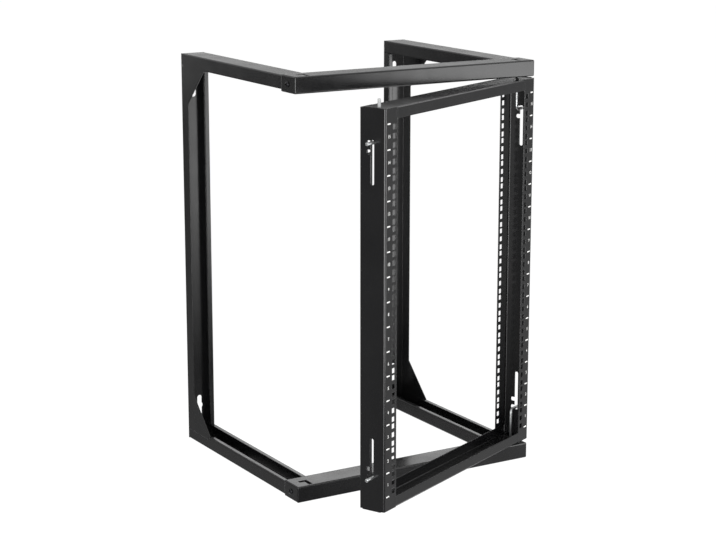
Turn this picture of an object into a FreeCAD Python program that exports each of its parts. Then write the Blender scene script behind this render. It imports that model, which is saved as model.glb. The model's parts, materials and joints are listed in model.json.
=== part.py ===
"""Wall-mount open frame rack: two folded side frames, two cross bars and a swing gate of 15 rack units.

Frame: +Z up, the front faces -Y, the wall is the plane Y = 0. The origin is the middle of the left
upright's wall face. The gate is drawn closed about its own hinge axis and then turned open.
"""
import FreeCAD, Part
import Sketcher
import os
from math import pi

RACK_UNITS = 15
HOLE_SHARES = (1 / 7, 1 / 2, 6 / 7)
NOTCHES = 2
PICK_TOLERANCE = 0.001
LEFT, RIGHT = -1, 1
TOP, BOTTOM = 1, -1
SIDES = (("left", LEFT), ("right", RIGHT))
LEVELS = (("top", TOP), ("bottom", BOTTOM))

# Driving dimensions in millimetres, and the gate's opening in degrees.
DIMENSIONS = {
    # the 19 inch rack standard
    "unit_height": 44.45,
    "column_spacing": 465.1,
    "square_hole": 9.5,
    # swing gate
    "gate_sheet": 1.5,
    "gate_bend": 2.0,
    "gate_margin": 26.625,
    "gate_gap": 5.0,
    "gate_angle": 25.0,
    "stile_edge": 28.45,
    "stile_flange": 38.0,
    "stile_depth": 53.0,
    "rail_flange": 20.0,
    # slide bolts of the gate and the slots that their handles run in
    "rod_diameter": 6.0,
    "rod_clearance": 0.5,
    "rod_inset": 21.0,
    "rod_bend": 5.0,
    "top_reach": 14.0,
    "bottom_reach": 8.0,
    "handle_level": 60.0,
    "handle_reach": 18.0,
    "slot_start": 55.0,
    "slot_end": 133.0,
    "slot_clip": 2.0,
    "notch_height": 8.0,
    "notch_length": 8.0,
    "notch_step": 16.0,
    # side frames
    "frame_sheet": 1.5,
    "frame_bend": 1.0,
    "frame_depth": 460.0,
    "side_width": 50.0,
    "side_lip": 9.5,
    "arm_height": 26.0,
    "upright_inner": 19.5,
    "upright_outer": 27.0,
    "gusset_leg": 70.0,
    # wall keyholes
    "keyhole_inset": 65.5,
    "keyhole_round": 14.0,
    "keyhole_slot": 10.0,
    "keyhole_length": 43.0,
    # cross bars with their bolt seats and corner screws
    "bar_height": 31.0,
    "bar_depth": 50.0,
    "seat_reach": 10.0,
    "seat_margin": 6.0,
    "screw_setback": 27.0,
    "screw_diameter": 6.0,
    "screw_clearance": 0.3,
    "screw_head": 10.5,
    "screw_head_height": 3.3,
    "screw_length": 12.0,
    "thread_clearance": 0.1,
}


class Size:
    """A length that carries its number and the sheet formula that the number comes from."""

    def __init__(self, value, text=None):
        self.value = value
        self.text = repr(value) if text is None else text

    def joined(self, other, sign, work):
        other = as_size(other)
        return Size(work(self.value, other.value), "(%s %s %s)" % (self.text, sign, other.text))

    def __add__(self, other):
        return self.joined(other, "+", lambda one, two: one + two)

    def __sub__(self, other):
        return self.joined(other, "-", lambda one, two: one - two)

    def __mul__(self, other):
        return self.joined(other, "*", lambda one, two: one * two)

    def __truediv__(self, other):
        return self.joined(other, "/", lambda one, two: one / two)

    def __neg__(self):
        return self * -1


def as_size(number):
    """Plain numbers become sizes without a formula."""
    return number if isinstance(number, Size) else Size(number)


document = FreeCAD.newDocument("wall_rack")
sheet = document.addObject("Spreadsheet::Sheet", "Sheet")
for row, (alias, number) in enumerate(DIMENSIONS.items(), start=1):
    sheet.set("A%d" % row, alias)
    sheet.set("B%d" % row, str(number))
    sheet.setAlias("B%d" % row, alias)
document.recompute()


def size(alias):
    """The driving dimension of that name."""
    return Size(DIMENSIONS[alias], "Sheet." + alias)


# Lengths that follow from the driving dimensions.
steel = size("frame_sheet")
gate_steel = size("gate_sheet")
frame_bend_outside = size("frame_bend") + steel
gate_bend_outside = size("gate_bend") + gate_steel
ruled_height = size("unit_height") * RACK_UNITS
gate_half = ruled_height / 2 + size("gate_margin")
frame_half = gate_half + size("gate_gap") + size("bar_height")
side_half = frame_half - steel
arm_start = side_half - size("arm_height")
gusset_seam = arm_start + frame_bend_outside
gusset_reach = -size("upright_outer") - size("gusset_leg")
side_half_width = size("side_width") / 2
gate_width = size("column_spacing") + size("stile_edge") * 2
side_span = gate_width - size("side_width") - steel * 2
bar_left = -side_half_width - steel
bar_right = side_span + side_half_width + steel
bar_middle = frame_half - size("bar_height") / 2
rod_radius = size("rod_diameter") / 2
rod_hole = rod_radius + size("rod_clearance")
hinge_x = bar_right - size("rod_inset")
hinge_y = size("stile_depth") / 2 - size("frame_depth")
latch_offset = size("rod_inset") * 2 - gate_width
stile_front = -size("stile_depth") / 2
stile_rear = size("stile_depth") / 2
gate_left = size("rod_inset") - gate_width
gate_right = size("rod_inset")
screw_y = size("screw_setback") - size("frame_depth")
screw_radius = size("screw_diameter") / 2
screw_hole = screw_radius + size("screw_clearance")
thread_hole = screw_radius + size("thread_clearance")


def bind(item, path, length):
    """Tie one property of an object to the sheet."""
    item.setExpression(path, as_size(length).text)


def sketch_on(body, role, level):
    """A sketch on one of the body's own origin planes, raised along the plane's normal."""
    sketch = body.newObject("Sketcher::SketchObject", "Sketch")
    plane = next(item for item in body.Origin.OriginFeatures if item.Role == role)
    sketch.AttachmentSupport = [(plane, "")]
    sketch.MapMode = "FlatFace"
    bind(sketch, "AttachmentOffset.Base.z", level)
    return sketch


def constrain(sketch, length, kind, *places):
    """One dimension of a sketch, tied to the sheet."""
    length = as_size(length)
    number = sketch.addConstraint(Sketcher.Constraint(kind, *places, length.value))
    sketch.setExpression("Constraints[%d]" % number, length.text)


def pin(sketch, curve, point, place):
    """Hold a point of a curve at its place from the sketch's origin."""
    constrain(sketch, place[0], "DistanceX", -1, 1, curve, point)
    constrain(sketch, place[1], "DistanceY", -1, 1, curve, point)


def vector(place):
    return FreeCAD.Vector(as_size(place[0]).value, as_size(place[1]).value, 0)


def outline(sketch, corners):
    """A closed outline of straight lines through the corners."""
    first = sketch.GeometryCount
    ends = corners[1:] + corners[:1]
    for start, end in zip(corners, ends):
        sketch.addGeometry(Part.LineSegment(vector(start), vector(end)), False)
    for number, corner in enumerate(corners):
        following = first + (number + 1) % len(corners)
        sketch.addConstraint(Sketcher.Constraint("Coincident", first + number, 2, following, 1))
        pin(sketch, first + number, 1, corner)


def rectangle(sketch, low, high):
    outline(sketch, [low, (high[0], low[1]), high, (low[0], high[1])])


def circle(sketch, centre, radius):
    ring = Part.Circle(vector(centre), FreeCAD.Vector(0, 0, 1), radius.value)
    number = sketch.addGeometry(ring, False)
    pin(sketch, number, 3, centre)
    constrain(sketch, radius, "Radius", number)


def upright_slot(sketch, centre, width, length):
    """A round-ended slot that stands upright about its centre."""
    radius = width / 2
    rise = length / 2 - radius
    ends = [(centre[0], centre[1] + rise), (centre[0], centre[1] - rise)]
    arcs = []
    for end, turn in zip(ends, (0, pi)):
        ring = Part.Circle(vector(end), FreeCAD.Vector(0, 0, 1), radius.value)
        arcs.append(sketch.addGeometry(Part.ArcOfCircle(ring, turn, turn + pi), False))
        pin(sketch, arcs[-1], 3, end)
        constrain(sketch, radius, "Radius", arcs[-1])
    for first, second in (arcs, arcs[::-1]):
        sides = [sketch.getPoint(first, 2), sketch.getPoint(second, 1)]
        line = sketch.addGeometry(Part.LineSegment(*sides), False)
        sketch.addConstraint(Sketcher.Constraint("Tangent", first, 2, line, 1))
        sketch.addConstraint(Sketcher.Constraint("Tangent", line, 2, second, 1))


def pad(body, sketch, length):
    feature = body.newObject("PartDesign::Pad", "Pad")
    feature.Profile = sketch
    bind(feature, "Length", length)
    return feature


def cut(body, sketch, reverse=False):
    """A pocket through everything on the far side of the sketch."""
    feature = body.newObject("PartDesign::Pocket", "Pocket")
    feature.Profile = sketch
    feature.Type = "ThroughAll"
    feature.Reversed = reverse
    return feature


def round_edges(body, axis, places, radius):
    """Round the straight edges that run along an axis (0, 1 or 2) through the given places."""
    document.recompute()
    base = body.Tip
    others = [number for number in range(3) if number != axis]
    names = []
    for number, edge in enumerate(base.Shape.Edges, start=1):
        if edge.Curve.TypeId != "Part::GeomLine":
            continue
        start, end = edge.Vertexes[0].Point, edge.Vertexes[-1].Point
        for place in places:
            offsets = [abs(point[other] - as_size(place[rank]).value)
                       for point in (start, end) for rank, other in enumerate(others)]
            if max(offsets) < PICK_TOLERANCE:
                names.append("Edge%d" % number)
    feature = body.newObject("PartDesign::Fillet", "Fillet")
    feature.Base = (base, names)
    bind(feature, "Radius", radius)
    return feature


def new_body(label):
    body = document.addObject("PartDesign::Body", label)
    body.Label = label
    return body


def place(item, x=0, y=0, z=0):
    for axis, length in zip("xyz", (x, y, z)):
        bind(item, "Placement.Base." + axis, length)


def hang_on_hinge(item):
    """Carry a piece of the gate from its closed drawing to the hinge, turned open."""
    place(item, hinge_x, hinge_y)
    item.setExpression("Placement.Rotation.Axis.z", "1")
    item.setExpression("Placement.Rotation.Angle", "Sheet.gate_angle * 1 deg")


# Side frames: an upright on the wall and two arms, each a folded channel that opens into the frame. The
# outer lip of an arm is notched where the upright's gusset butts on the arm's wall.
def upright(name, side):
    body = new_body(name + "_upright")
    outer, inner = side_half_width * side, side_half_width * -side
    outer_skin, inner_skin = outer - steel * side, inner + steel * side
    lip_end = inner + size("side_lip") * side
    lip_front, lip_back = -size("upright_inner"), steel - size("upright_inner")

    web = sketch_on(body, "XY_Plane", -side_half)
    rectangle(web, (-side_half_width, -steel), (side_half_width, 0))
    pad(body, web, side_half * 2)

    flange = sketch_on(body, "XY_Plane", -arm_start)
    outline(flange, [(inner, 0), (inner, lip_front), (lip_end, lip_front), (lip_end, lip_back),
                     (inner_skin, lip_back), (inner_skin, 0)])
    pad(body, flange, arm_start * 2)
    round_edges(body, 2, [(inner, lip_front)], frame_bend_outside)
    round_edges(body, 2, [(inner_skin, lip_back)], size("frame_bend"))

    gusset_end = arm_start - size("gusset_leg")
    plate = sketch_on(body, "YZ_Plane", outer if side == LEFT else outer_skin)
    outline(plate, [(0, -gusset_seam), (0, gusset_seam), (gusset_reach, gusset_seam), (gusset_reach, arm_start),
                    (-size("upright_outer"), gusset_end), (-size("upright_outer"), -gusset_end),
                    (gusset_reach, -arm_start), (gusset_reach, -gusset_seam)])
    pad(body, plate, steel)

    keyhole_level = side_half - size("keyhole_inset")
    for _, level in LEVELS:
        centre = (0, keyhole_level * level)
        slot = sketch_on(body, "XZ_Plane", steel)
        upright_slot(slot, centre, size("keyhole_slot"), size("keyhole_length"))
        cut(body, slot)
        eye = sketch_on(body, "XZ_Plane", steel)
        circle(eye, centre, size("keyhole_round") / 2)
        cut(body, eye)
    place(body, side_span if side == RIGHT else 0)
    return body


def arm(name, side, level):
    body = new_body(name + "_arm")
    crown, skin = side_half * level, (side_half - steel) * level
    rim, rim_skin = arm_start * level, (arm_start + steel) * level
    wide, inside = side_half_width, side_half_width - steel
    lip = side_half_width - size("side_lip")
    channel = sketch_on(body, "XZ_Plane", steel)
    outline(channel, [(-wide, crown), (wide, crown), (wide, rim), (lip, rim), (lip, rim_skin),
                      (inside, rim_skin), (inside, skin), (-inside, skin), (-inside, rim_skin),
                      (-lip, rim_skin), (-lip, rim), (-wide, rim)])
    pad(body, channel, size("frame_depth") - steel * 2)
    round_edges(body, 1, [(-wide, crown), (wide, crown), (wide, rim), (-wide, rim)], frame_bend_outside)
    round_edges(body, 1, [(inside, rim_skin), (inside, skin), (-inside, skin), (-inside, rim_skin)],
                size("frame_bend"))
    notch = sketch_on(body, "XY_Plane", gusset_seam * level)
    rectangle(notch, (lip * side, gusset_reach), (wide * side, 0))
    cut(body, notch, reverse=level == BOTTOM)
    hole = sketch_on(body, "YZ_Plane", 0)
    circle(hole, (screw_y, bar_middle * level), thread_hole)
    cut(body, hole, reverse=side == RIGHT)
    place(body, side_span if side == RIGHT else 0)
    return body


# Cross bars: channels that open to the wall and wrap the front ends of the arms. An L-shaped slot near
# each end goes through both plates, and its closed end is the seat of a bolt.
def cross_bar(name, level):
    body = new_body(name + "_cross_bar")
    front, back = -size("frame_depth"), size("bar_depth") - size("frame_depth")
    edges = (frame_half * level, (frame_half - size("bar_height")) * level)
    high, low = edges if level == TOP else edges[::-1]
    block = sketch_on(body, "XY_Plane", low)
    rectangle(block, (bar_left, front), (bar_right, back))
    pad(body, block, size("bar_height"))
    round_edges(body, 2, [(bar_left, front), (bar_right, front)], frame_bend_outside)
    round_edges(body, 0, [(front, low), (front, high)], frame_bend_outside)
    hollow = sketch_on(body, "XZ_Plane", size("frame_depth") - steel)
    rectangle(hollow, (bar_left + steel, low + steel), (bar_right - steel, high - steel))
    cut(body, hollow)
    for pin_x, side in ((hinge_x + latch_offset, LEFT), (hinge_x, RIGHT)):
        closed_end = pin_x + rod_hole * side
        run = pin_x - size("seat_reach") * side
        run_outer, run_inner = run + rod_hole * side, run - rod_hole * side
        run_front = front + size("seat_margin")
        seat_front, seat_rear = hinge_y - rod_hole, hinge_y + rod_hole
        seat = sketch_on(body, "XY_Plane", high)
        outline(seat, [(closed_end, seat_rear), (run_inner, seat_rear), (run_inner, run_front),
                       (run_outer, run_front), (run_outer, seat_front), (closed_end, seat_front)])
        cut(body, seat)
    for _, side in SIDES:
        hole = sketch_on(body, "YZ_Plane", side_span / 2)
        circle(hole, (screw_y, bar_middle * level), screw_hole)
        cut(body, hole, reverse=side == RIGHT)
    return body


def cylinder(label, radius, height):
    item = document.addObject("Part::Cylinder", label)
    bind(item, "Radius", radius)
    bind(item, "Height", height)
    return item


# Corner screws: a head outside the bar's end and a shank through the bar into the arm's threaded hole.
def corner_screw(name, side, level):
    head = cylinder(name + "_head", size("screw_head") / 2, size("screw_head_height"))
    shank = cylinder(name + "_shank", screw_radius, size("screw_length"))
    bind(shank, "Placement.Base.z", -size("screw_length"))
    screw = document.addObject("Part::MultiFuse", name + "_screw")
    screw.Label = name + "_screw"
    screw.Shapes = [head, shank]
    screw.Refine = True
    screw.Placement.Rotation = FreeCAD.Rotation(FreeCAD.Vector(0, 0, 1), FreeCAD.Vector(side, 0, 0))
    place(screw, bar_left if side == LEFT else bar_right, screw_y, bar_middle * level)
    return screw


def handle_slot():
    """Corners of a bolt handle's slot and notches, as depths in the gate and distances from its end.

    The corners are clipped straight, because arcs would take many times the facets.
    """
    half, clip = rod_hole, size("slot_clip")
    start, end = size("slot_start"), size("slot_end")
    notch_end = half + size("notch_length")
    corners = [(-half, start + clip), (clip - half, start), (half, start)]
    for number in range(NOTCHES):
        near = size("handle_level") - size("notch_height") / 2 + size("notch_step") * number
        far = near + size("notch_height")
        corners += [(half, near), (notch_end - clip, near), (notch_end, near + clip),
                    (notch_end, far - clip), (notch_end - clip, far), (half, far)]
    return corners + [(half, end - clip), (half - clip, end), (clip - half, end), (-half, end - clip)]


# Gate stiles: channels with both flanges punched for cage nuts and the web slotted for the bolts. The
# rack standard sets a unit's three holes at fixed shares of its height.
def stile(name, side):
    body = new_body("gate_" + name + "_stile")
    outer = gate_left if side == LEFT else gate_right
    skin = outer - gate_steel * side
    edge = outer - size("stile_flange") * side
    front_skin, rear_skin = stile_front + gate_steel, stile_rear - gate_steel
    channel = sketch_on(body, "XY_Plane", -gate_half)
    outline(channel, [(outer, stile_front), (edge, stile_front), (edge, front_skin), (skin, front_skin),
                      (skin, rear_skin), (edge, rear_skin), (edge, stile_rear), (outer, stile_rear)])
    pad(body, channel, gate_half * 2)
    round_edges(body, 2, [(outer, stile_front), (outer, stile_rear)], gate_bend_outside)
    round_edges(body, 2, [(skin, front_skin), (skin, rear_skin)], size("gate_bend"))

    column = outer - size("stile_edge") * side
    half_hole = size("square_hole") / 2
    unit = sketch_on(body, "XZ_Plane", size("stile_depth"))
    for share in HOLE_SHARES:
        level = size("unit_height") * share - ruled_height / 2
        rectangle(unit, (column - half_hole, level - half_hole), (column + half_hole, level + half_hole))
    punched = cut(body, unit)
    pattern = body.newObject("PartDesign::LinearPattern", "Pattern")
    pattern.Originals = [punched]
    axis = next(item for item in body.Origin.OriginFeatures if item.Role == "Z_Axis")
    pattern.Direction = (axis, [""])
    pattern.Occurrences = RACK_UNITS
    bind(pattern, "Length", size("unit_height") * (RACK_UNITS - 1))
    body.Tip = pattern

    for _, level in LEVELS:
        slot = sketch_on(body, "YZ_Plane", edge)
        outline(slot, [(depth, (gate_half - distance) * level) for depth, distance in handle_slot()])
        cut(body, slot, reverse=side == RIGHT)
    hang_on_hinge(body)
    return body


# Gate rails: channels between the stiles whose webs run on into the stiles and guide the bolts.
def rail(name, level):
    body = new_body("gate_" + name + "_rail")
    end, skin = gate_half * level, (gate_half - gate_steel) * level
    rim = (gate_half - size("rail_flange")) * level
    front_skin, rear_skin = stile_front + gate_steel, stile_rear - gate_steel
    channel = sketch_on(body, "YZ_Plane", gate_left + size("stile_flange"))
    outline(channel, [(stile_front, end), (stile_rear, end), (stile_rear, rim), (rear_skin, rim),
                      (rear_skin, skin), (front_skin, skin), (front_skin, rim), (stile_front, rim)])
    pad(body, channel, gate_width - size("stile_flange") * 2)
    round_edges(body, 0, [(stile_front, end), (stile_rear, end)], gate_bend_outside)
    round_edges(body, 0, [(front_skin, skin), (rear_skin, skin)], size("gate_bend"))
    web = sketch_on(body, "XY_Plane", skin if level == TOP else end)
    rectangle(web, (gate_left + gate_steel, front_skin), (gate_right - gate_steel, rear_skin))
    pad(body, web, gate_steel)
    for pin_x in (0, latch_offset):
        guide = sketch_on(body, "XY_Plane", 0)
        circle(guide, (pin_x, 0), rod_hole)
        cut(body, guide, reverse=level == TOP)
    hang_on_hinge(body)
    return body


# Slide bolts: a round rod swept round a clipped corner into a handle that goes out through the slot.
def slide_bolt(name, side, level):
    body = new_body(name + "_bolt")
    rod_x = latch_offset if side == LEFT else as_size(0)
    outer = gate_left if side == LEFT else gate_right
    reach = size("top_reach") if level == TOP else size("bottom_reach")
    handle_z = (gate_half - size("handle_level")) * level
    tip_z = (gate_half + reach) * level
    route = [(rod_x, tip_z), (rod_x, handle_z + size("rod_bend") * level),
             (rod_x + size("rod_bend") * side, handle_z), (outer + size("handle_reach") * side, handle_z)]

    path = sketch_on(body, "XZ_Plane", 0)
    for number, ends in enumerate(zip(route[:-1], route[1:])):
        path.addGeometry(Part.LineSegment(*[vector(end) for end in ends]), False)
        if number:
            path.addConstraint(Sketcher.Constraint("Coincident", number - 1, 2, number, 1))
        pin(path, number, 1, ends[0])
    pin(path, number, 2, route[-1])
    section = sketch_on(body, "XY_Plane", tip_z)
    circle(section, (rod_x, 0), rod_radius)
    rod = body.newObject("PartDesign::AdditivePipe", "Rod")
    rod.Profile = section
    rod.Spine = (path, ["Edge%d" % number for number in range(1, len(route))])
    rod.Transition = "Right corner"
    hang_on_hinge(body)
    return body


pieces = []
for side_name, side in SIDES:
    pieces.append(upright(side_name, side))
    for level_name, level in LEVELS:
        corner = level_name + "_" + side_name
        pieces.append(arm(corner, side, level))
        pieces.append(corner_screw(corner, side, level))
        pieces.append(slide_bolt(corner, side, level))
    pieces.append(stile(side_name, side))
for level_name, level in LEVELS:
    pieces.append(cross_bar(level_name, level))
    pieces.append(rail(level_name, level))
document.recompute()

for item in document.Objects:
    if "Invalid" in item.State or "Error" in item.State:
        raise RuntimeError("%s failed to build" % item.Name)
    if item.TypeId == "PartDesign::Pocket" and item.Shape.Volume >= item.BaseFeature.Shape.Volume:
        raise RuntimeError("%s cuts nothing" % item.Name)

os.makedirs("parts", exist_ok=True)
for piece in pieces:
    if piece.Shape.isNull() or not piece.Shape.isValid() or len(piece.Shape.Solids) != 1:
        raise RuntimeError("%s has no sound solid" % piece.Label)
    piece.Shape.exportStep("parts/%s.step" % piece.Label)
    print("%s %.0f mm3" % (piece.Label, piece.Shape.Volume))
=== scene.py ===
# %% [markdown]
# A wall-mount open frame rack
#
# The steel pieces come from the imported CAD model, already in place and in metres. This lesson gives them
# their finishes, and adds what a drawing office leaves to the shop: welds, bent zinc rods, screws with
# threads, and the white print that counts the rack units. Every added piece rides on a body of the model,
# so it moves with the gate.

# %% Load the frame
import bmesh
import bpy
import json
from math import cos, pi, radians, sin, tau
from mathutils import Matrix, Vector


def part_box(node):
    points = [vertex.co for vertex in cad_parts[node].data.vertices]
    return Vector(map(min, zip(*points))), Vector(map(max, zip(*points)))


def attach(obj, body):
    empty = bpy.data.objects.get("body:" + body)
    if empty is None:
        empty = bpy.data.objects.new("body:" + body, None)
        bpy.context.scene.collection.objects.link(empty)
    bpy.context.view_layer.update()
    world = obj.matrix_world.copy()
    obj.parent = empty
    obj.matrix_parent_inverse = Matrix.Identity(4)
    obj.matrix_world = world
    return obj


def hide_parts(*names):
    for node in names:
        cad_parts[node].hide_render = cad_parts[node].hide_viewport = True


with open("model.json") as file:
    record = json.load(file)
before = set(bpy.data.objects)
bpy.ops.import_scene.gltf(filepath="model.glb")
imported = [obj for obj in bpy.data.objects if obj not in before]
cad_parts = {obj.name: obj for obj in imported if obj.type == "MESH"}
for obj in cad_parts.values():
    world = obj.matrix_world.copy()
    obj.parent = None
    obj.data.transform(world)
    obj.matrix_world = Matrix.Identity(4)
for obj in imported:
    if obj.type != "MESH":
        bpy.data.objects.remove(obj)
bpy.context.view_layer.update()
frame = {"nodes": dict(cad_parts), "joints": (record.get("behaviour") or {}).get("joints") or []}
nodes = frame["nodes"]

# %% [markdown]
# Three small helpers carry the whole lesson. Paint charts give colours as sRGB hex values, while shaders
# count in linear light, so one function turns the first into the second. Another adds a shader node, sets
# it and links it, which keeps each recipe below readable from its source to its surface. The third makes an
# empty material to build in.

# %% Units, colours and nodes
MM = 0.001


def linear(code):
    """A hex colour such as #c8ccd0 as linear red, green, blue and alpha."""
    parts = [int(code[place:place + 2], 16) / 255 for place in (1, 3, 5)]
    return tuple(part / 12.92 if part <= 0.04045 else ((part + 0.055) / 1.055) ** 2.4
                 for part in parts) + (1.0,)


def add(tree, kind, inputs=(), **settings):
    """Add a node to a tree. Inputs are pairs of a socket and either a value or another node's output."""
    item = tree.nodes.new(kind)
    for name, value in settings.items():
        setattr(item, name, value)
    for socket, value in inputs:
        if isinstance(value, bpy.types.NodeSocket):
            tree.links.new(value, item.inputs[socket])
        else:
            item.inputs[socket].default_value = value
    return item


def blank_material(name):
    """A material without nodes, and the tree to build in."""
    material = bpy.data.materials.new(name)
    material.use_nodes = True
    material.node_tree.nodes.clear()
    return material, material.node_tree


print("one millimetre is", MM, "and mid grey is", round(linear("#808080")[0], 3))

# %% [markdown]
# Powder coat
#
# The frame and the gate are sheet steel with a black polyester powder coat. The powder melts in an oven and
# flows out, but not quite flat: it keeps a faint orange peel of about 2 mm and a still fainter, wider
# waviness. The film is semi-gloss, so it shows the room softly from straight ahead and brightly at a slant.
# One Principled shader does this. Noise in the roughness keeps large faces from looking like plastic film,
# and two bumps give the peel and the waves.
#
# Melted powder also draws itself round over every bend and cut edge. A Bevel modifier on every sheet would
# cost many faces, so the Bevel node only turns the normals there as such a rounding would. The edges then
# catch the thin bright lines by which black sheet metal is read. Welds are round already and get the same
# paint without it.

# %% Black powder coat
PEEL, WAVE, CLOUD, EDGE = 2.0 * MM, 22.0 * MM, 60.0 * MM, 2.0 * MM
PEEL_RISE, PEEL_STRENGTH = 0.1 * MM, 0.06
WAVE_RISE, WAVE_STRENGTH = 0.6 * MM, 0.05
PAINT_IOR, PAINT_GLOSSIEST, PAINT_DULLEST = 1.55, 0.17, 0.25
CLOUD_LOW, CLOUD_HIGH, EDGE_SAMPLES = 0.3, 0.7, 8


def powder_coat(name, rounded):
    """The paint, with its edges drawn round or, on welds that are round already, as they are."""
    material, tree = blank_material(name)
    place = add(tree, "ShaderNodeTexCoord").outputs["Object"]
    peel = add(tree, "ShaderNodeTexNoise", [("Vector", place), ("Scale", 1 / PEEL), ("Detail", 2.0)])
    wave = add(tree, "ShaderNodeTexNoise", [("Vector", place), ("Scale", 1 / WAVE), ("Detail", 1.0)])
    cloud = add(tree, "ShaderNodeTexNoise", [("Vector", place), ("Scale", 1 / CLOUD), ("Detail", 4.0)])
    gloss = add(tree, "ShaderNodeMapRange", [("Value", cloud.outputs["Fac"]),
                                             ("From Min", CLOUD_LOW), ("From Max", CLOUD_HIGH),
                                             ("To Min", PAINT_GLOSSIEST), ("To Max", PAINT_DULLEST)])
    tone = add(tree, "ShaderNodeValToRGB", [("Fac", cloud.outputs["Fac"])])
    tone.color_ramp.elements[0].color = linear("#0c0c0d")
    tone.color_ramp.elements[1].color = linear("#131314")
    if rounded:
        surface = add(tree, "ShaderNodeBevel", [("Radius", EDGE)], samples=EDGE_SAMPLES)
    else:
        surface = add(tree, "ShaderNodeNewGeometry")
    waves = add(tree, "ShaderNodeBump", [("Height", wave.outputs["Fac"]), ("Strength", WAVE_STRENGTH),
                                         ("Distance", WAVE_RISE), ("Normal", surface.outputs["Normal"])])
    peels = add(tree, "ShaderNodeBump", [("Height", peel.outputs["Fac"]), ("Strength", PEEL_STRENGTH),
                                         ("Distance", PEEL_RISE), ("Normal", waves.outputs["Normal"])])
    paint = add(tree, "ShaderNodeBsdfPrincipled", [("Base Color", tone.outputs["Color"]), ("IOR", PAINT_IOR),
                                                   ("Roughness", gloss.outputs["Result"]),
                                                   ("Normal", peels.outputs["Normal"])])
    add(tree, "ShaderNodeOutputMaterial", [("Surface", paint.outputs["BSDF"])])
    return material


sheet_paint = powder_coat("black_powder_coat", True)
weld_paint = powder_coat("black_powder_coat_on_welds", False)
painted = [name for name in nodes if not name.endswith(("_bolt", "_screw"))]
for name in painted:
    nodes[name].data.materials.clear()
    nodes[name].data.materials.append(sheet_paint)
print("painted nodes:", len(painted))

# %% [markdown]
# Zinc plate
#
# The slide bolts are drawn steel wire with a zinc plate. It looks pale silver with a slight blue cloud, is
# satin rather than a mirror, and keeps the lines of the drawing die along the wire. It is a metal, so it
# keeps the default IOR. The lines could come from a picture wrapped round the wire. Noise that is stretched
# along the rod's texture coordinates does the same and never repeats. Real lines are a few hundredths of a
# millimetre apart and would vanish here, so they are drawn about ten times as coarse.

# %% Zinc plate on drawn wire
LINE_WIDTH, LINE_LENGTH, BLOOM = 0.35 * MM, 30.0 * MM, 9.0 * MM
GROOVE, GROOVE_STRENGTH = 0.05 * MM, 0.15
ZINC_GLOSSIEST, ZINC_DULLEST = 0.34, 0.5
zinc_plate, tree = blank_material("bright_zinc_plate")
along = add(tree, "ShaderNodeTexCoord")
lines = add(tree, "ShaderNodeMapping", [("Vector", along.outputs["UV"]),
                                        ("Scale", (1 / LINE_WIDTH, 1 / LINE_LENGTH, 1.0))])
drawn = add(tree, "ShaderNodeTexNoise", [("Vector", lines.outputs["Vector"]), ("Scale", 1.0),
                                         ("Detail", 3.0)])
bloom = add(tree, "ShaderNodeTexNoise", [("Vector", along.outputs["Object"]), ("Scale", 1 / BLOOM),
                                         ("Detail", 3.0)])
silver = add(tree, "ShaderNodeValToRGB", [("Fac", bloom.outputs["Fac"])])
silver.color_ramp.elements[0].color = linear("#b9bdc2")
silver.color_ramp.elements[1].color = linear("#dcdcd8")
sheen = add(tree, "ShaderNodeMapRange", [("Value", drawn.outputs["Fac"]),
                                         ("To Min", ZINC_GLOSSIEST), ("To Max", ZINC_DULLEST)])
grooves = add(tree, "ShaderNodeBump", [("Height", drawn.outputs["Fac"]), ("Strength", GROOVE_STRENGTH),
                                       ("Distance", GROOVE)])
zinc = add(tree, "ShaderNodeBsdfPrincipled", [("Base Color", silver.outputs["Color"]), ("Metallic", 1.0),
                                              ("Roughness", sheen.outputs["Result"]),
                                              ("Normal", grooves.outputs["Normal"])])
add(tree, "ShaderNodeOutputMaterial", [("Surface", zinc.outputs["BSDF"])])
print("material:", zinc_plate.name)

# %% [markdown]
# Black oxide
#
# The corner screws are blackened in a hot salt bath and oiled, so they are nearly as dark as the paint but
# have a metal's sheen. The oil dries in small stains. Without them the screws could pass for plastic, so one
# noise of the stains' size moves the colour and the roughness together, and the darker spots are also the
# shinier ones.

# %% Black oxide on screws
STAIN = 1.5 * MM
OXIDE_GLOSSIEST, OXIDE_DULLEST = 0.22, 0.42
black_oxide, tree = blank_material("oiled_black_oxide")
place = add(tree, "ShaderNodeTexCoord").outputs["Object"]
stain = add(tree, "ShaderNodeTexNoise", [("Vector", place), ("Scale", 1 / STAIN), ("Detail", 3.0)])
dark = add(tree, "ShaderNodeValToRGB", [("Fac", stain.outputs["Fac"])])
dark.color_ramp.elements[0].color = linear("#2a2a2c")
dark.color_ramp.elements[1].color = linear("#454548")
oily = add(tree, "ShaderNodeMapRange", [("Value", stain.outputs["Fac"]),
                                        ("To Min", OXIDE_GLOSSIEST), ("To Max", OXIDE_DULLEST)])
oxide = add(tree, "ShaderNodeBsdfPrincipled", [("Base Color", dark.outputs["Color"]), ("Metallic", 1.0),
                                               ("Roughness", oily.outputs["Result"])])
add(tree, "ShaderNodeOutputMaterial", [("Surface", oxide.outputs["BSDF"])])
print("material:", black_oxide.name)

# %% [markdown]
# Where the gate stands
#
# The gate was drawn closed and then opened about its right-hand bolts, which are its hinge. The pieces that
# are added to it are easiest to place in the same way: in a closed gate, in millimetres from the hinge line,
# and then carried over by one matrix. The hinge line and the angle come from the model's own joint, whose
# lower limit is the closed gate. The gate's outline is measured on its stiles and rounded to a hundredth,
# which takes away the small errors of turning them back.

# %% The gate's own frame
swing = next(joint for joint in frame["joints"] if joint["name"] == "gate_swing")
hinge, open_angle = Vector(swing["pos_m"]), radians(-swing["range_deg"][0])
gate_frame = Matrix.Translation(hinge) @ Matrix.Rotation(open_angle, 4, "Z")


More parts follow.
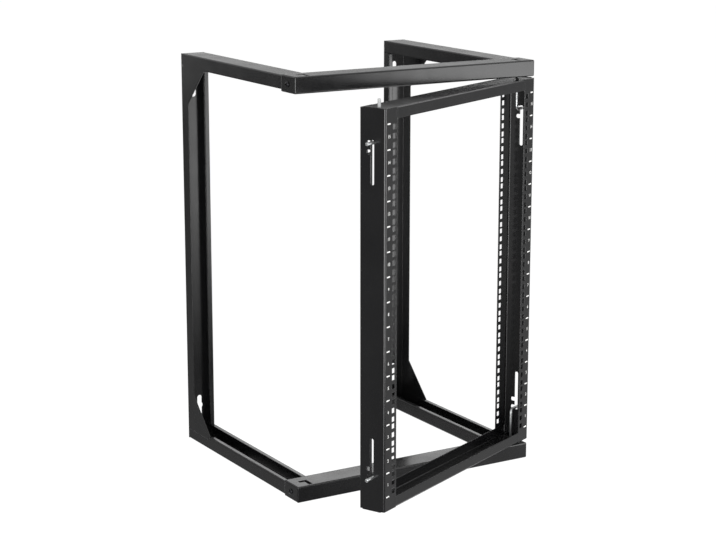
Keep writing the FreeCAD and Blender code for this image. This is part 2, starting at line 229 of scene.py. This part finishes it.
def box_in(matrix, name):
    """Lowest and highest corner of a node as seen from a frame, in millimetres."""
    inward = matrix.inverted()
    places = [inward @ vertex.co / MM for vertex in nodes[name].data.vertices]
    return (Vector([round(min(values), 2) for values in zip(*places)]),
            Vector([round(max(values), 2) for values in zip(*places)]))


stile_low, stile_high = box_in(gate_frame, "gate_left_stile")
GATE_LEFT, GATE_FRONT, GATE_HALF = stile_low.x, stile_low.y, stile_high.z
GATE_RIGHT = box_in(gate_frame, "gate_right_stile")[1].x
STILE_FLANGE = stile_high.x - stile_low.x
print("gate", GATE_RIGHT - GATE_LEFT, "by", 2 * GATE_HALF, "mm, with flanges of", STILE_FLANGE, "mm")
print("hinge line at", [round(value, 4) for value in hinge])

# %% [markdown]
# Added pieces
#
# The added pieces are built point by point with bmesh, Blender's mesh editor for scripts, in millimetres.
# That gives full control of every edge, and one function can then do the rest for all of them: it scales and
# places the mesh, turns its faces outward, gives it a material and ties it to a body of the model.

# %% From points to pieces
scene = bpy.context.scene


def mesh_object(name, work, material):
    """Turn a bmesh into an object of one material, and link it to the scene."""
    mesh = bpy.data.meshes.new(name)
    work.to_mesh(mesh)
    work.free()
    mesh.materials.append(material)
    item = bpy.data.objects.new(name, mesh)
    scene.collection.objects.link(item)
    return item


def new_piece(name, work, body, material, matrix):
    """Turn a bmesh built in millimetres into a piece that rides on a body."""
    work.transform(matrix @ Matrix.Scale(MM, 4))
    bmesh.ops.recalc_face_normals(work, faces=work.faces)
    piece = mesh_object(name, work, material)
    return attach(piece, body)


print("pieces are linked to", scene.collection.name)

# %% [markdown]
# Welds
#
# The gate's corners and the gussets of the side frames are welded before painting. Outside, a flap wheel
# grinds the weld flush, so that no seam shows through the paint, only a swell of a tenth of a millimetre.
# Inside, the bead stays as it froze, with a ripple for each step of the torch. Displacing the sheets would
# need a fine mesh all over them, so a weld is a piece of its own: a low dome carried along the seam, with
# round ends, whose height goes up and down by the ripple.

# %% A weld bead
HALF_POINTS, LEAST_STEPS, STEPS_PER_RIPPLE = 4, 16, 4
SUNK, LEAST_TAPER = 0.03, 0.06


def weld(work, start, end, across, out, width, rise, ripple=0.0, pitch=1.8):
    """Add a domed bead from start to end, lying across a seam and standing out of it."""
    start, end = Vector(start), Vector(end)
    across, out = Vector(across).normalized(), Vector(out).normalized()
    length = (end - start).length
    steps = max(LEAST_STEPS, int(length / pitch * STEPS_PER_RIPPLE)) if ripple else LEAST_STEPS
    profile = [point / HALF_POINTS for point in range(-HALF_POINTS, HALF_POINTS + 1)]
    rows = []
    for step in range(steps + 1):
        share = step / steps
        near = min(1.0, min(share, 1 - share) * length / (width / 2))
        taper = max(LEAST_TAPER, (near * (2 - near)) ** 0.5)
        swell = 1 - ripple * (0.5 + 0.5 * cos(tau * share * length / pitch))
        centre = start.lerp(end, share) - out * SUNK
        rows.append([work.verts.new(centre + across * side * width / 2 * taper
                                    + out * rise * taper * swell * (1 - side ** 2)) for side in profile])
    for row, following in zip(rows, rows[1:]):
        for point in range(len(profile)):
            beside = (point + 1) % len(profile)
            face = work.faces.new((row[point], row[beside], following[beside], following[point]))
            face.smooth = beside > 0
    work.faces.new(rows[0])
    work.faces.new(rows[-1])


def paint_welds(name, work, body, matrix):
    """Turn finished welds into a painted piece."""
    piece = new_piece(name, work, body, weld_paint, matrix)
    print(piece.name, len(piece.data.polygons), "faces")


print("a bead has", 2 * HALF_POINTS + 1, "points across")

# %% [markdown]
# Each side frame has three ground seams at either end: along the gusset where it meets the arm, up the
# corner where the arm meets the upright, and across the top. Their places are measured on the uprights and
# the arms. The gusset's seam lies where the bend of the arm's lip ends, and the values that are called a
# start or a stop say how far a seam keeps from the ends of its sheets.

# %% Ground welds of the side frames
GROUND, GUSSET_WELD, CORNER_WELD = 0.1, 8.0, 3.0
FRAME_BEND, PAST_WALL = 2.5, 0.1
GUSSET_START, GUSSET_STOP, CORNER_START, CORNER_STOP, TOP_STOP = 1.0, 2.0, 2.0, 3.5, 3.0
frame_welds = bmesh.new()
for side_name, side in (("left", -1), ("right", 1)):
    low, high = box_in(Matrix.Identity(4), "%s_upright" % side_name)
    arm_low, arm_high = box_in(Matrix.Identity(4), "top_%s_arm" % side_name)
    face = low.x if side < 0 else high.x
    seam, wall = arm_low.z + FRAME_BEND, arm_high.y - PAST_WALL
    for level in (-1, 1):
        weld(frame_welds, (face, -GUSSET_START, seam * level), (face, low.y + GUSSET_STOP, seam * level),
             (0, 0, 1), (side, 0, 0), GUSSET_WELD, GROUND)
        weld(frame_welds, (face, wall, (seam + CORNER_START) * level),
             (face, wall, (high.z - CORNER_STOP) * level), (0, 1, 0), (side, 0, 0), CORNER_WELD, GROUND)
        weld(frame_welds, (low.x + TOP_STOP, wall, high.z * level),
             (high.x - TOP_STOP, wall, high.z * level), (0, 1, 0), (0, 0, level), CORNER_WELD, GROUND)
paint_welds("frame_ground_welds", frame_welds, "frame", Matrix.Identity(4))

# %% [markdown]
# The gate's rails butt on the flanges of its stiles. That joint is ground flush at the front and the back.
# In the corner inside, one bead runs from front to back and one stands upright in the stile's rear bend.
# These are left rough, and they glint in the dark of the channel. Here starts and stops are counted from the
# gate's top or bottom.

# %% Welds of the gate
GATE_SHEET, JOINT_WELD, JOINT_START, JOINT_STOP = 1.5, 7.0, 19.0, 3.0
BEAD_HALF, BEAD_WIDTH, BEAD_RISE, BEAD_RIPPLE = 21.0, 7.0, 1.6, 0.35
REAR_INSET, REAR_START, REAR_STOP = 2.6, 20.0, 3.0
REAR_WIDTH, REAR_RISE, REAR_RIPPLE, REAR_PITCH = 6.0, 1.8, 0.4, 2.4
gate_welds, beads = bmesh.new(), bmesh.new()
for side, outer in ((-1, GATE_LEFT), (1, GATE_RIGHT)):
    for level in (-1, 1):
        up = Vector((0, 0, level))
        for face in (-1, 1):
            joint = Vector((outer - STILE_FLANGE * side, GATE_FRONT * -face, 0))
            weld(gate_welds, joint + up * (GATE_HALF - JOINT_START), joint + up * (GATE_HALF - JOINT_STOP),
                 (1, 0, 0), (0, face, 0), JOINT_WELD, GROUND)
        corner = Vector((outer - GATE_SHEET * side, 0, (GATE_HALF - GATE_SHEET) * level))
        reach = Vector((0, BEAD_HALF, 0))
        weld(beads, corner - reach, corner + reach, (side, 0, level), (-side, 0, -level),
             BEAD_WIDTH, BEAD_RISE, BEAD_RIPPLE)
        rear = Vector((outer - REAR_INSET * side, -GATE_FRONT - REAR_INSET, 0))
        weld(beads, rear + up * (GATE_HALF - REAR_START), rear + up * (GATE_HALF - REAR_STOP),
             (side, -1, 0), (-side, -1, 0), REAR_WIDTH, REAR_RISE, REAR_RIPPLE, REAR_PITCH)
paint_welds("gate_ground_welds", gate_welds, "gate", gate_frame)
paint_welds("gate_weld_beads", beads, "gate", gate_frame)

# %% [markdown]
# Slide bolts
#
# Each bolt is a 6 mm wire with a chamfered tip that enters the cross bar, bent through a right angle into
# the handle that comes out of the stile's slot. The CAD rod has a clipped corner to save facets. The rod
# here fills the same box, but goes smoothly round a bend of 8 mm, as a wire bender would make it. First
# comes the line that it follows, from the tip to the handle's end.

# %% The line of a rod
ROD, BEND, CHAMFER, TURNS = 3.0, 8.0, 0.9, 14


def rod_stations(low, high, side, level):
    """Centre, direction and radius of each ring from the tip, round the bend, to the handle's end."""
    down, out = Vector((0, 0, -level)), Vector((side, 0, 0))
    rod_x, end = (high.x - ROD, low.x) if side < 0 else (low.x + ROD, high.x)
    tip, handle = (high.z, low.z + ROD) if level > 0 else (low.z, high.z - ROD)
    stations = [(Vector((rod_x, 0, tip)), down, ROD - CHAMFER),
                (Vector((rod_x, 0, tip - CHAMFER * level)), down, ROD)]
    centre = Vector((rod_x + BEND * side, 0, handle + BEND * level))
    for step in range(TURNS + 1):
        angle = pi / 2 * step / TURNS
        stations.append((centre - out * BEND * cos(angle) + down * BEND * sin(angle),
                         down * cos(angle) + out * sin(angle), ROD))
    stations.append((Vector((end - CHAMFER * side, 0, handle)), out, ROD))
    stations.append((Vector((end, 0, handle)), out, ROD - CHAMFER))
    return stations


print("a bend of", BEND, "mm in", TURNS, "turns")

# %% [markdown]
# A curve with a round bevel would give the same tube, but no chamfers and no texture coordinates in real
# lengths. So a ring of points is carried along the line and joined to the ring before it. The same loop
# writes the coordinates in metres, round the wire and along it, for the drawing lines. The chamfers are
# shaded flat, so that their edges stay sharp.

# %% Bent rods
AROUND = 32


def swept(stations):
    """A closed tube through the stations, with texture coordinates in metres."""
    work = bmesh.new()
    layer = work.loops.layers.uv.new("UVMap")
    across = Vector((0, 1, 0))
    angles = [tau * turn / AROUND for turn in range(AROUND)]
    rings, lengths = [], [0.0]
    for number, (centre, ahead, radius) in enumerate(stations):
        if number:
            lengths.append(lengths[-1] + (centre - stations[number - 1][0]).length)
        upward = ahead.cross(across)
        rings.append([work.verts.new(centre + (across * cos(angle) + upward * sin(angle)) * radius)
                      for angle in angles])
    for number, (ring, following) in enumerate(zip(rings, rings[1:])):
        for turn in range(AROUND):
            beside = (turn + 1) % AROUND
            face = work.faces.new((ring[turn], ring[beside], following[beside], following[turn]))
            face.smooth = 0 < number < len(rings) - 2
            corners = ((turn, number), (turn + 1, number), (turn + 1, number + 1), (turn, number + 1))
            for loop, (step, station) in zip(face.loops, corners):
                loop[layer].uv = (step * tau * ROD / AROUND * MM, lengths[station] * MM)
    work.faces.new(rings[0])
    work.faces.new(rings[-1])
    return work


for level_name, level in (("top", 1), ("bottom", -1)):
    for side_name, side in (("left", -1), ("right", 1)):
        node = "%s_%s_bolt" % (level_name, side_name)
        low, high = box_in(gate_frame, node)
        stations = rod_stations(low, high, side, level)
        rod = new_piece(node + "_rod", swept(stations), node, zinc_plate, gate_frame)
        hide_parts(node)
        print(rod.name, len(rod.data.polygons), "faces")

# %% [markdown]
# Corner screws
#
# A button-head screw holds each end of a cross bar to its arm. Its socket could be cut from a turned head
# with a Boolean modifier, but everything about it goes round one axis. So it is a stack of rings whose
# radius may change with the angle: constant for the dome, six-sided for the socket, and wound by one pitch
# per turn for the thread. A lathe would make the first, a broach the second and a die the third.

# %% Sockets and threads
SOCKET, PITCH, SHANK, THREAD_DEPTH = 2.0, 1.0, 2.95, 0.55


def hexagon(angle):
    """Distance from the axis to the socket's wall at an angle."""
    return SOCKET / cos((angle + pi / 6) % (pi / 3) - pi / 6)


def thread(height):
    """Radius of a thread at a height, as a function of the angle."""
    def radius(angle):
        phase = (height / PITCH - angle / tau) % 1.0
        return SHANK - THREAD_DEPTH * abs(2 * phase - 1)
    return radius


print("socket across corners:", round(2 * hexagon(pi / 6), 2), "mm")

# %% [markdown]
# The stack starts at the drill point in the socket's floor, comes up the socket, goes over the dome and
# down the side of the head, and then along the thread to a blunt tip. The two powers in the dome's formula
# make it a little fuller than a round one.

# %% The rings of a screw
HEAD, HEAD_RISE, RIM, RIM_EASE, LENGTH, TIP_TAPER = 5.25, 3.3, 0.5, 0.25, 12.0, 0.9
SOCKET_DEPTH, DRILL_RADIUS, DRILL_DEPTH, FLOOR_SHARE, FLOOR_EASE = 2.1, 0.05, 0.5, 0.92, 0.1
MOUTH_SHARE, MOUTH_EASE, STEPS_PER_PITCH = 1.08, 0.15, 8
DOME_STEPS, DOME_START, DOME_SPREAD, DOME_FULLNESS = 8, 0.2, 0.9, 0.8


def screw_rings():
    """Radius by angle, and height, of each ring from the socket's floor to the thread's tip."""
    floor = HEAD_RISE - SOCKET_DEPTH
    rings = [(lambda angle: DRILL_RADIUS, floor - DRILL_DEPTH),
             (lambda angle: hexagon(angle) * FLOOR_SHARE, floor),
             (hexagon, floor + FLOOR_EASE),
             (hexagon, HEAD_RISE - MOUTH_EASE),
             (lambda angle: hexagon(angle) * MOUTH_SHARE, HEAD_RISE)]
    for step in range(DOME_STEPS + 1):
        slope = pi / 2 * (DOME_START + (1 - DOME_START) * step / DOME_STEPS)
        rings.append((lambda angle, slope=slope: HEAD * sin(slope) ** DOME_SPREAD,
                      RIM + (HEAD_RISE - RIM) * cos(slope) ** DOME_FULLNESS))
    rings += [(lambda angle: HEAD, RIM_EASE),
              (lambda angle: HEAD - RIM_EASE, 0.0),
              (lambda angle: SHANK, 0.0)]
    steps = int(LENGTH / PITCH * STEPS_PER_PITCH)
    rings += [(thread(-LENGTH * step / steps), -LENGTH * step / steps) for step in range(1, steps)]
    rings.append((lambda angle: SHANK - TIP_TAPER, -LENGTH))
    return rings


print("a screw has", len(screw_rings()), "rings")

# %% [markdown]
# Each screw takes its seat from the box of the CAD screw that it replaces: the head ends at the box's outer
# side, and the axis goes through the box's middle.

# %% Button-head screws
SPOKES = 48


def button_screw():
    """A closed mesh through the rings, with the axis along Z and the head up."""
    work = bmesh.new()
    angles = [tau * spoke / SPOKES for spoke in range(SPOKES)]
    loops = [[work.verts.new((radius(angle) * cos(angle), radius(angle) * sin(angle), height))
              for angle in angles] for radius, height in screw_rings()]
    for ring, following in zip(loops, loops[1:]):
        for spoke in range(SPOKES):
            beside = (spoke + 1) % SPOKES
            work.faces.new((ring[spoke], ring[beside], following[beside], following[spoke]))
    work.faces.new(loops[0])
    work.faces.new(loops[-1])
    return work


for level_name in ("top", "bottom"):
    for side_name, side in (("left", -1), ("right", 1)):
        node = "%s_%s_screw" % (level_name, side_name)
        low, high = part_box(node)
        seat = Vector((low.x + HEAD_RISE * MM if side < 0 else high.x - HEAD_RISE * MM,
                       (low.y + high.y) / 2, (low.z + high.z) / 2))
        outward = Matrix.Translation(seat) @ Matrix.Rotation(pi / 2 * side, 4, "Y")
        screw = new_piece(node + "_button", button_screw(), "frame", black_oxide, outward)
        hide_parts(node)
        print(screw.name, len(screw.data.polygons), "faces")

# %% [markdown]
# Screen ink
#
# White ink on the gate's front flanges counts the rack units. It is pressed through a woven screen and dries
# matt, with a faint mottle where the screen left it thinner and the black shows through. The screen's threads
# are about a tenth of a millimetre apart and too fine to show, so the mottle is drawn about ten times as
# coarse: one noise between two whites.

# %% White screen ink
MOTTLE, INK_ROUGHNESS = 1.2 * MM, 0.55
screen_ink, tree = blank_material("white_screen_ink")
place = add(tree, "ShaderNodeTexCoord").outputs["Object"]
patch = add(tree, "ShaderNodeTexNoise", [("Vector", place), ("Scale", 1 / MOTTLE), ("Detail", 2.0)])
white = add(tree, "ShaderNodeValToRGB", [("Fac", patch.outputs["Fac"])])
white.color_ramp.elements[0].color = linear("#dcdcda")
white.color_ramp.elements[1].color = linear("#f2f2f0")
ink = add(tree, "ShaderNodeBsdfPrincipled", [("Base Color", white.outputs["Color"]),
                                             ("Roughness", INK_ROUGHNESS)])
add(tree, "ShaderNodeOutputMaterial", [("Surface", ink.outputs["BSDF"])])
print("material:", screen_ink.name)

# %% [markdown]
# Printed rack units
#
# There is a dash at every unit's edge and a number between. The screen lays the ink down about a twentieth
# of a millimetre thick, so a dash is a thin tile with rounded corners. A picture on the flange could show
# the print too, but as a mesh it stays sharp from any distance.

# %% Dashes
INK, DASH_WIDTH, DASH_HEIGHT, CORNER, CORNER_POINTS = 0.06, 9.6, 2.4, 0.6, 4


def dash(work, x, z):
    """A thin tile of ink with rounded corners, lying on the front of the flange."""
    outline = []
    for turn, (across, up) in enumerate(((1, 1), (-1, 1), (-1, -1), (1, -1))):
        for step in range(CORNER_POINTS):
            angle = pi / 2 * (turn + step / (CORNER_POINTS - 1))
            outline.append((x + across * (DASH_WIDTH / 2 - CORNER) + CORNER * cos(angle),
                            z + up * (DASH_HEIGHT / 2 - CORNER) + CORNER * sin(angle)))
    back = [work.verts.new((across, GATE_FRONT, up)) for across, up in outline]
    front = [work.verts.new((across, GATE_FRONT - INK, up)) for across, up in outline]
    work.faces.new(front)
    for number, vertex in enumerate(back):
        following = (number + 1) % len(back)
        work.faces.new((vertex, back[following], front[following], front[number]))


print("a dash is", DASH_WIDTH, "by", DASH_HEIGHT, "mm")

# %% [markdown]
# The numbers are Blender's own lettering: a text curve with the ink's thickness, fattened slightly because
# ink spreads, turned upright and made into a mesh. Each side of the gate gets one piece of dashes and one of
# numbers, and the numbers count from the bottom.

# %% Numbers and columns
UNITS, UNIT, COLUMN_INSET = 15, 44.45, 11.0
DIGIT, TEXT_SIZE, SPREAD, NUMBER_SHIFT, TEXT_STEPS = 5.8, 1.4, 0.08, 0.8, 4


def number_mesh(text):
    """A number as a mesh in millimetres, upright and centred on its own middle."""
    curve = bpy.data.curves.new("number", "FONT")
    curve.body, curve.size, curve.extrude, curve.offset = text, DIGIT * TEXT_SIZE, INK / 2, SPREAD
    curve.align_x, curve.align_y, curve.resolution_u = "CENTER", "CENTER", TEXT_STEPS
    carrier = bpy.data.objects.new("number", curve)
    mesh = bpy.data.meshes.new_from_object(carrier)
    bpy.data.objects.remove(carrier)
    mesh.transform(Matrix.Rotation(pi / 2, 4, "X"))
    return mesh


for side_name, column in (("left", GATE_LEFT + COLUMN_INSET), ("right", GATE_RIGHT - COLUMN_INSET)):
    dashes, numbers = bmesh.new(), bmesh.new()
    for unit in range(UNITS + 1):
        level = UNIT * (unit - UNITS / 2)
        dash(dashes, column, level)
        if unit < UNITS:
            mesh = number_mesh(str(unit + 1))
            place = (column + NUMBER_SHIFT, GATE_FRONT - INK / 2, level + UNIT / 2)
            mesh.transform(Matrix.Translation(place))
            numbers.from_mesh(mesh)
    for kind, work in (("dashes", dashes), ("numbers", numbers)):
        marks = new_piece("%s_unit_%s" % (side_name, kind), work, "gate", screen_ink, gate_frame)
        print(marks.name, len(marks.data.polygons), "faces")

# %% [markdown]
# The studio
#
# The rack hangs in a white studio. A picture of a room could light it, but plain white makes each face's
# tone easy to foresee. The world is white where the camera, a reflection or a see-through surface looks at
# it, and weaker where it lights the object. The Light Path node tells these rays apart.

# %% World
AMBIENT = 0.75
scene.view_settings.view_transform = "Standard"
world = bpy.data.worlds.new("white_studio")
scene.world = world
world.use_nodes = True
tree = world.node_tree
tree.nodes.clear()


def seen_rays(tree):
    """1 for the rays that show the background: from the camera, in gloss and through clear things."""
    path = add(tree, "ShaderNodeLightPath")
    both = add(tree, "ShaderNodeMath", [(0, path.outputs["Is Camera Ray"]),
                                        (1, path.outputs["Is Glossy Ray"])], operation="MAXIMUM")
    return add(tree, "ShaderNodeMath", [(0, both.outputs[0]), (1, path.outputs["Is Transmission Ray"])],
               operation="MAXIMUM").outputs[0]


strength = add(tree, "ShaderNodeMapRange", [("Value", seen_rays(tree)),
                                            ("To Min", AMBIENT), ("To Max", 1.0)])
sky = add(tree, "ShaderNodeBackground", [("Color", (1, 1, 1, 1)), ("Strength", strength.outputs["Result"])])
add(tree, "ShaderNodeOutputWorld", [("Surface", sky.outputs["Background"])])
print("the world lights the rack at", AMBIENT)

# %% [markdown]
# The floor lies well below the rack, which hangs as on a wall. It is a matt pale paint with a little glow
# for the same three kinds of ray, so it stays white in the picture and still takes a soft shadow. It reaches
# far enough for its edge to lie close under the horizon.

# %% Floor
FLOOR_LEVEL, FLOOR_SIZE, FLOOR_GLOW, FLOOR_ROUGHNESS = -0.95, 80.0, 0.42, 0.9
floor_paint, tree = blank_material("pale_studio_floor")
glow = add(tree, "ShaderNodeMath", [(0, seen_rays(tree)), (1, FLOOR_GLOW)], operation="MULTIPLY")
pale = add(tree, "ShaderNodeBsdfPrincipled", [("Base Color", linear("#e6e6e6")),
                                              ("Roughness", FLOOR_ROUGHNESS), ("Specular IOR Level", 0.0),
                                              ("Emission Color", (1, 1, 1, 1)),
                                              ("Emission Strength", glow.outputs[0])])
add(tree, "ShaderNodeOutputMaterial", [("Surface", pale.outputs["BSDF"])])


def flat_sheet(name, place, turn, wide, tall, material):
    """A plain rectangle of the studio, facing along its turned Z."""
    work = bmesh.new()
    bmesh.ops.create_grid(work, x_segments=1, y_segments=1, size=0.5)
    work.transform(Matrix.Translation(place) @ turn @ Matrix.Diagonal((wide, tall, 1, 1)))
    return mesh_object(name, work, material)


FLAT = Matrix.Identity(4)
studio_floor = flat_sheet("studio_floor", (0, 0, FLOOR_LEVEL), FLAT, FLOOR_SIZE, FLOOR_SIZE, floor_paint)
print("floor at", FLOOR_LEVEL, "m")

# %% [markdown]
# Lights
#
# Black gloss is lit by what it mirrors. A round softbox stands close at the front right. The bars mirror it
# towards their right ends and the open channels of the uprights mirror it towards their tops. A rectangular
# one at the front left is too far round to show in any flat face, and draws the light lines on the upright
# bends. Area lamps are used because their size shows in the gloss, as that of a real softbox does.

# %% Softboxes
def softbox(name, shape, place, aim, wide, tall, radiance):
    """An area lamp of the given radiance, turned towards a point."""
    lamp = bpy.data.lights.new(name, "AREA")
    lamp.shape, lamp.size, lamp.size_y = shape, wide, tall
    lamp.energy = radiance * pi * wide * tall * (pi / 4 if shape == "ELLIPSE" else 1)
    item = bpy.data.objects.new(name, lamp)
    item.location = place
    item.rotation_euler = (Vector(aim) - Vector(place)).to_track_quat("-Z", "Y").to_euler()
    item.visible_camera = False
    scene.collection.objects.link(item)
    print(name, round(lamp.energy, 1), "W")


softbox("round_softbox", "ELLIPSE", place=(1.22, -1.5, -0.05), aim=(0.25, -0.3, 0.0),
        wide=1.0, tall=1.0, radiance=3.9)
softbox("left_front_softbox", "RECTANGLE", place=(-1.0, -2.1, -0.05), aim=(0.0, -0.4, 0.1),
        wide=1.3, tall=1.1, radiance=6.0)

# %% [markdown]
# The rest of the room is darker than the backdrop, as a studio is. Grey cards stand for its walls and its
# floor, on all four sides of the rack. Four small strips among them are brighter than white: they put a
# light on the lips, bends and edges that would be lost in the dark. Only reflections see the cards and
# strips. They take no part in the lighting and cast no shadow, so each can be set for the face that mirrors
# it without changing any other.
#
# Each line at the end of the cell is one card: its name, its middle in metres, how it is turned, its width
# and height, and its level, where 1 is as bright as the backdrop.

# %% Grey cards
SIDEWAYS = Matrix.Rotation(pi / 2, 4, "Y")
FACING = Matrix.Rotation(pi / 2, 4, "X")
LEANING = Matrix.Rotation(-pi / 3, 4, "Y")
CORNERWISE = Matrix.Rotation(radians(-42), 4, "Z") @ FACING


def card(name, place, turn, wide, tall, level):
    """A plain card that only glossy reflections see, at the given level."""
    grey, tree = blank_material(name + "_grey")
    face = add(tree, "ShaderNodeEmission", [("Color", (1, 1, 1, 1)), ("Strength", level)])
    add(tree, "ShaderNodeOutputMaterial", [("Surface", face.outputs["Emission"])])
    item = flat_sheet(name, place, turn, wide, tall, grey)
    item.visible_camera = item.visible_diffuse = item.visible_shadow = False
    print(name, "at level", level)


card("left_card", (-1.9, 2.6, 0.0), SIDEWAYS, 1.88, 4.0, 0.18)
card("left_near_card", (-1.9, -0.5, 0.0), SIDEWAYS, 1.88, 2.2, 0.24)
card("left_floor_card", (-1.05, 1.4, -0.94), FLAT, 1.7, 6.0, 0.27)
card("left_low_strip", (-1.05, -2.0, -0.77), CORNERWISE, 1.3, 0.32, 2.8)
card("left_strip", (-1.8, 0.2, 0.5), SIDEWAYS, 0.8, 0.5, 1.3)
card("front_card", (0.3, -4.6, 0.4), FACING, 6.0, 2.68, 0.13)
card("front_floor_card", (-0.2, -2.75, -0.94), FLAT, 2.4, 3.7, 0.10)
card("right_card", (2.4, -1.6, 0.0), SIDEWAYS, 1.88, 3.6, 0.42)
card("right_floor_card", (1.8, -1.5, -0.94), FLAT, 1.5, 4.0, 0.50)
card("right_high_strip", (2.0, 0.1, 1.5), LEANING, 0.7, 1.2, 2.6)
card("back_card", (2.0, 2.2, 1.95), FACING, 6.0, 2.7, 0.52)
card("back_strip", (1.3, 1.4, 0.29), FACING, 1.8, 0.34, 1.8)
card("back_low_card", (1.29, 1.4, -0.415), FACING, 3.82, 1.05, 0.10)

# %% [markdown]
# Camera
#
# The photograph was taken from the front left and a little above. A camera set by eye would be off by
# several pixels, so the place, the angle and the focal length come from fitting the model's corners to the
# photograph, with the image taken as 716 by 540 and no shift.

# %% Camera
PHOTO_WIDTH, FOCAL_PIXELS, SENSOR_WIDTH = 716, 1890.7, 36.0
AZIMUTH, ELEVATION, CAMERA_PLACE = radians(-31.08), radians(12.80), (-1.6455, -3.3616, 0.8023)
backward = Vector((sin(AZIMUTH) * cos(ELEVATION), -cos(AZIMUTH) * cos(ELEVATION), sin(ELEVATION)))
camera_data = bpy.data.cameras.new("photo_camera")
camera_data.sensor_fit, camera_data.sensor_width = "HORIZONTAL", SENSOR_WIDTH
camera_data.lens = FOCAL_PIXELS / PHOTO_WIDTH * SENSOR_WIDTH
camera = bpy.data.objects.new("photo_camera", camera_data)
camera.location = CAMERA_PLACE
camera.rotation_euler = (-backward).to_track_quat("-Z", "Y").to_euler()
scene.collection.objects.link(camera)
scene.camera = camera
print("lens", round(camera_data.lens, 2), "mm")
